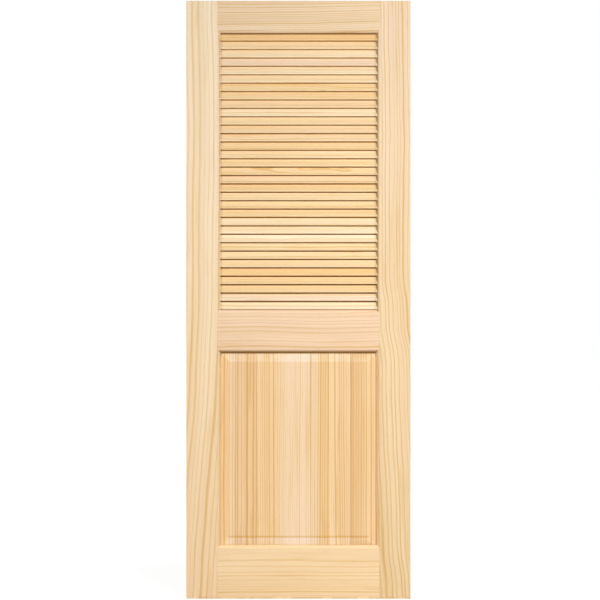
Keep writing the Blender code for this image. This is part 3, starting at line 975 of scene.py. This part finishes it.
RAIL_LENGTHS = 12
cope = pushed(coped_end(-1) + coped_end(1)[::-1], -MOULDING_SIZE, DOOR_HEIGHT + MOULDING_SIZE, "Z")
cope_shape = add_object("cope", cope)
RAILS = {
    "top": dict(
        edges=(moulded_edge(TOP_RAIL_BASE, -1), square_edge(DOOR_HEIGHT)),
        colours=[wood_colour(225, 200, 167)],
        heart=(0.30, 0.20),
        drift=((0, 0), (0.5, 0.002), (1, 0.008)),
        ring_width=0.0062,
        strength=0.75,
        waviness=0.004,
        log_number=3,
    ),
    "lock": dict(
        edges=(moulded_edge(LOCK_RAIL_BASE, -1), seated_edge(LOCK_RAIL_TOP)),
        colours=[wood_colour(230, 199, 166)],
        heart=(-0.25, 0.20),
        drift=((0, 0), (0.3, 0.003), (0.6, -0.002), (1, 0.002)),
        ring_width=0.0095,
        strength=0.54,
        waviness=0.005,
        log_number=4,
    ),
    "bottom": dict(
        edges=(square_edge(0.0), moulded_edge(BOTTOM_RAIL_TOP, 1)),
        colours=[wood_colour(240, 210, 167)],
        heart=(0.07, 0.13),
        drift=((0, 0), (0.5, 0.002), (1, 0)),
        ring_width=0.0066,
        strength=0.45,
        waviness=0.003,
        log_number=5,
    ),
}
for rail, wood in RAILS.items():
    lower, upper = wood.pop("edges")
    section = eased([(depth, height) for height, depth in lower + upper[::-1]])
    bar = pushed(section, -HALF_WIDTH, HALF_WIDTH, "X", RAIL_LENGTHS)
    mesh = cut(f"{rail}_rail", bar, CUTTERS, [cope_shape])
    saw_from_log(mesh, False, **wood)
    shade_hollow(mesh, rail_hollow)
    add_piece(f"{rail}_rail", mesh, RAIL_PINE, "rail_pine", f"rail_{rail}")

# %% [markdown]
# ## The raised panel
# Seven boards glued edge to edge make the panel. Its edges are thinned by a sloping bevel to a tongue that
# floats in the frame's groove, and a rounded step sets the flat field off from the bevel. A height map would
# blur the mitred corners. Trimming a plan of the panel by its side view gives them exactly, as two passes of
# a cutter do. The cutter leaves the bevels fuzzy and pale. The step at the foot and the panel's edges under
# the lock rail and beside the stiles get painted shade, and all the boards are painted a little paler towards
# the foot and darker at the head.

# %% Shape the panel's boards
PANEL_MARGIN = 0.0325
PANEL_STEP_WIDTH = 0.0085
PANEL_STEP_DROP = 0.0019
PANEL_STEP_FACETS = 8
PANEL_STEP_RADIUS = (PANEL_STEP_WIDTH**2 + PANEL_STEP_DROP**2) / (2 * PANEL_STEP_DROP)
PANEL_HALF_THICKNESS = PANEL_HIGH.y
PANEL_TONGUE_LENGTH = PANEL_HIGH.x - OPENING_HALF_WIDTH
PANEL_SMOOTH_ANGLE = radians(5)
TRIM_ROOM = 0.004


def panel_rise(room):
    """The panel's half thickness against the distance in from its edge: tongue, bevel, step, field."""
    field_edge = PANEL_TONGUE_LENGTH + PANEL_MARGIN
    rise = [(0.0, PANEL_TONGUE_THICKNESS / 2), (PANEL_TONGUE_LENGTH, PANEL_TONGUE_THICKNESS / 2)]
    for out in np.linspace(PANEL_STEP_WIDTH, 0, PANEL_STEP_FACETS + 1).tolist():
        drop = PANEL_STEP_RADIUS - (PANEL_STEP_RADIUS**2 - out**2) ** 0.5
        rise.append((field_edge - out, PANEL_HALF_THICKNESS - drop))
    if room:
        rise.append((field_edge, PANEL_HALF_THICKNESS + room))
    return rise


def raised_outline(low, high, room=0.0, low_raised=True, high_raised=True):
    """A board's outline from low to high, raised from a tongue at the ends that are asked for."""
    rise = panel_rise(room)
    plain = [(0.0, rise[-1][1])]
    rising = [(low + distance, half) for distance, half in (rise if low_raised else plain)]
    falling = [(high - distance, half) for distance, half in (rise if high_raised else plain)]
    upper = rising + falling[::-1]
    return upper + [(across, -half) for across, half in reversed(upper)]


# Painted shade along the panel's root: how far in it reaches, and how strong it is under the lock rail and at
# each side
PANEL_HOLLOW = 0.0065
PANEL_HEAD_SHADE = 1.0
PANEL_SIDE_SHADE = {-1: 0.10, 1: 0.35}
# Below 0, a fuzz value paints shade: the step at the panel's foot faces down and is painted darker
FOOT_STEP_SHADE = -1.35
# A hair's breadth, by which points on a line between two parts of the panel are told apart
HAIR = 0.0001


def panel_hollow(place):
    """The bevels are fuzzy; the step at the foot and the root under the lock rail and stiles get painted
    shade.
    """
    side = OPENING_HALF_WIDTH - abs(place.x)
    head = LOCK_RAIL_BASE - place.z
    foot = place.z - BOTTOM_RAIL_TOP
    nearest = min(side, head, foot)
    on_field = nearest > PANEL_MARGIN - HAIR
    on_step = nearest > PANEL_MARGIN - PANEL_STEP_WIDTH + HAIR
    fuzz_and_shade = 0 if on_field else 1
    if on_step and not on_field and foot < nearest + HAIR:
        fuzz_and_shade = FOOT_STEP_SHADE
    if head <= side:
        return 1 - head / PANEL_HOLLOW, PANEL_HEAD_SHADE, fuzz_and_shade
    return 1 - side / PANEL_HOLLOW, PANEL_SIDE_SHADE[1 if place.x > 0 else -1], fuzz_and_shade


side_view = [(depth, height) for height, depth in raised_outline(PANEL_LOW.z, PANEL_HIGH.z)]
panel_trim = add_object("panel_trim", pushed(side_view, -HALF_WIDTH, HALF_WIDTH, "X"))

STAVE_LENGTHS = 24
STAVE_WAVINESS = 0.003
STAVE_FIRST_LOG = 11
# Painted light: every board a little darker at the head and paler towards the foot
STAVE_PAINTED_LIGHT = ((0.970, 0.975, 1.01, 1), (0.987, 0.986, 0.985, 1), (1.030, 1.047, 1.10, 1))
STAVE_WOODS = (
    dict(edges=((239, 199, 140), (234, 202, 161)), heart=(0.16, 0.01), ring_width=0.0095,
         strength=0.7, lean=0.0),
    dict(edges=((230, 193, 145), (234, 199, 150)), heart=(-0.18, 0.02), ring_width=0.0105,
         strength=1.1, lean=-0.003),
    dict(edges=((236, 202, 155), (234, 200, 149)), heart=(0.15, 0.02), ring_width=0.0075,
         strength=0.7, lean=0.001),
    dict(edges=((236, 205, 165), (240, 212, 178)), heart=(-0.16, 0.03), ring_width=0.0060,
         strength=0.5, lean=-0.004),
    dict(edges=((235, 206, 169), (227, 188, 127)), heart=(0.12, 0.01), ring_width=0.0085,
         strength=0.85, lean=-0.002),
    dict(edges=((237, 205, 158), (234, 201, 156)), heart=(-0.15, 0.01), ring_width=0.0075,
         strength=0.85, lean=0.005),
    dict(edges=((218, 175, 118), (239, 207, 163), (227, 190, 137)), heart=(0.17, 0.02), ring_width=0.0085,
         strength=0.75, lean=0.0),
)
for number, (node, wood) in enumerate(zip(STAVE_NODES, STAVE_WOODS), start=1):
    left, right = (corner.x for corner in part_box(node))
    first = node == STAVE_NODES[0]
    last = node == STAVE_NODES[-1]
    plan = raised_outline(left, right, TRIM_ROOM, first, last)
    block = pushed(plan, PANEL_LOW.z - TRIM_ROOM, PANEL_HIGH.z + TRIM_ROOM, "Z", STAVE_LENGTHS)
    stave = cut(f"panel_board_{number}", block, (), [panel_trim], PANEL_SMOOTH_ANGLE)
    wood["colours"] = [wood_colour(*colour) for colour in wood.pop("edges")]
    wood["drift"] = ((0, 0), (1, wood.pop("lean")))
    wood["log_number"] = STAVE_FIRST_LOG + number - 1
    saw_from_log(stave, True, waviness=STAVE_WAVINESS, blend="across", fade=STAVE_PAINTED_LIGHT, **wood)
    shade_hollow(stave, panel_hollow)
    add_piece(f"panel_board_{number}", stave, PANEL_PINE, "panel_pine", node)

# %% [markdown]
# ## Dowels
# The birch dowels are shut in their bores, so the packed solids are kept as they are. They still get a wood
# of their own, because someone may take the door apart.

# %% Finish the dowels
BIRCH_FIBRE_SCALE = (30.0, 900.0, 900.0)
BIRCH_COLOURS = (wood_colour(212, 185, 146), wood_colour(234, 212, 178))
BIRCH_ROUGHNESS = dict(base=0.5, fibre=0.2)


def birch(name):
    """Pale turned birch: fine long fibres along the dowel."""
    material, shader, surface = new_finish(name)
    fibre = (shader.object_spot() * BIRCH_FIBRE_SCALE).noise(2.0)
    fibre.mix(*BIRCH_COLOURS).into(surface, "Base Color")
    weighed({"fibre": fibre}, **BIRCH_ROUGHNESS).into(surface, "Roughness")
    return material


DOWEL_BIRCH = birch("dowel_birch")
for node in DOWEL_NODES:
    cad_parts[node].material_slots[0].material = DOWEL_BIRCH
for cutter in (*CUTTERS, cope_shape, panel_trim):
    bpy.data.objects.remove(cutter, do_unlink=True)
print(len(DOWEL_NODES), "dowels in birch; the cutters are put away")

# %% [markdown]
# ## Lamps
# The photograph has one soft light from the front right, a little above the door, and a weaker one from the
# left. A single sky would light it evenly, but then the mouldings and the gaps between the slats would fade.
# Two low lamps behind the door show its back, and a small one overhead lights the upper sides of the edges.

# %% Place the lamps
LAMPS = {
    "key": dict(place=(1.1, -4.4, 2.8), aim=(2.79, -2.53, 0.0), size=0.68, power=297.0),
    "fill": dict(place=(-2.2, -3.6, 2.5), aim=(-0.9, -1.6, 0.0), size=0.9, power=45.0),
    "back_left": dict(place=(-2.8, 3.2, 0.3), aim=(0.0, 0.0, 1.0), size=1.5, power=100.0),
    "back_right": dict(place=(2.8, 3.2, 0.3), aim=(0.0, 0.0, 1.0), size=1.5, power=100.0),
    "top": dict(place=(0.0, 0.0, 4.6), aim=(0.0, 0.0, 0.0), size=0.3, power=25.0),
}


def softbox(name, place, aim, size, power):
    """A square lamp that faces the point it aims at."""
    data = bpy.data.lights.new(name, "AREA")
    data.size = size
    data.energy = power
    lamp = bpy.data.objects.new(name, data)
    lamp.location = place
    lamp.rotation_euler = (Vector(aim) - Vector(place)).to_track_quat("-Z", "Y").to_euler()
    bpy.context.scene.collection.objects.link(lamp)


for name, lamp in LAMPS.items():
    softbox(name, **lamp)
bpy.context.scene.view_settings.view_transform = "Standard"
print("lamps:", {name: lamp["power"] for name, lamp in LAMPS.items()}, "W")

# %% [markdown]
# ## Sky and floor
# The background is white. A bright sky and floor would make it so, but they would flood the door with light
# too. So they are white for looking rays alone, from the camera or off a shiny surface. For the rays that
# light the door, the sky is dim and the floor a middling grey. The floor's own glow is weaker near the door,
# where the lamps make up for it, so that the door's shadow still shows.

# %% Make the sky and the floor
LOOKING_RAYS = ("Is Camera Ray", "Is Glossy Ray", "Is Transmission Ray")
SKY_STRENGTH = 0.05
# How pale the floor is for the rays that light the door, and for looking rays
FLOOR_PALE = 0.5
FLOOR_SEEN = 0.25
FLOOR_GLOW_NEAR = 0.80
FLOOR_GLOW_FAR = 0.92
FLOOR_GLOW_FADE = (0.9, 2.5)
FLOOR_ROUGHNESS = 0.9
FLOOR_REACH = 30.0


def looking(shader):
    """1 for rays from the camera and for mirror or glass rays, 0 for rays that carry light to the door."""
    camera, mirror, glass = (shader.node("ShaderNodeLightPath", {}, {}, ray) for ray in LOOKING_RAYS)
    return camera.larger(mirror).larger(glass)


world = bpy.data.worlds.new("studio")
bpy.context.scene.world = world
world.use_nodes = True
background = world.node_tree.nodes["Background"]
background.inputs["Color"].default_value = (1, 1, 1, 1)
sky_strength = SKY_STRENGTH + (1 - SKY_STRENGTH) * looking(Wire(world.node_tree))
sky_strength.into(background, "Strength")

floor_material, floor_shader, floor_surface = new_finish("studio_floor")
floor_surface.inputs["Roughness"].default_value = FLOOR_ROUGHNESS
floor_surface.inputs["Emission Strength"].default_value = 1.0
seen = looking(floor_shader)
away = floor_shader.object_spot().length().ramp(*FLOOR_GLOW_FADE)
glow = seen * (FLOOR_GLOW_NEAR + (FLOOR_GLOW_FAR - FLOOR_GLOW_NEAR) * away)
glow.into(floor_surface, "Emission Color")
pale = FLOOR_PALE + (FLOOR_SEEN - FLOOR_PALE) * seen
pale.into(floor_surface, "Base Color")

floor_mesh = bpy.data.meshes.new("floor")
corners = [(x * FLOOR_REACH, y * FLOOR_REACH, 0) for x, y in ((-1, -1), (1, -1), (1, 1), (-1, 1))]
floor_mesh.from_pydata(corners, [], [(0, 1, 2, 3)])
floor_mesh.materials.append(floor_material)
add_object("floor", floor_mesh)
print("floor", 2 * FLOOR_REACH, "m wide, sky", SKY_STRENGTH)

# %% [markdown]
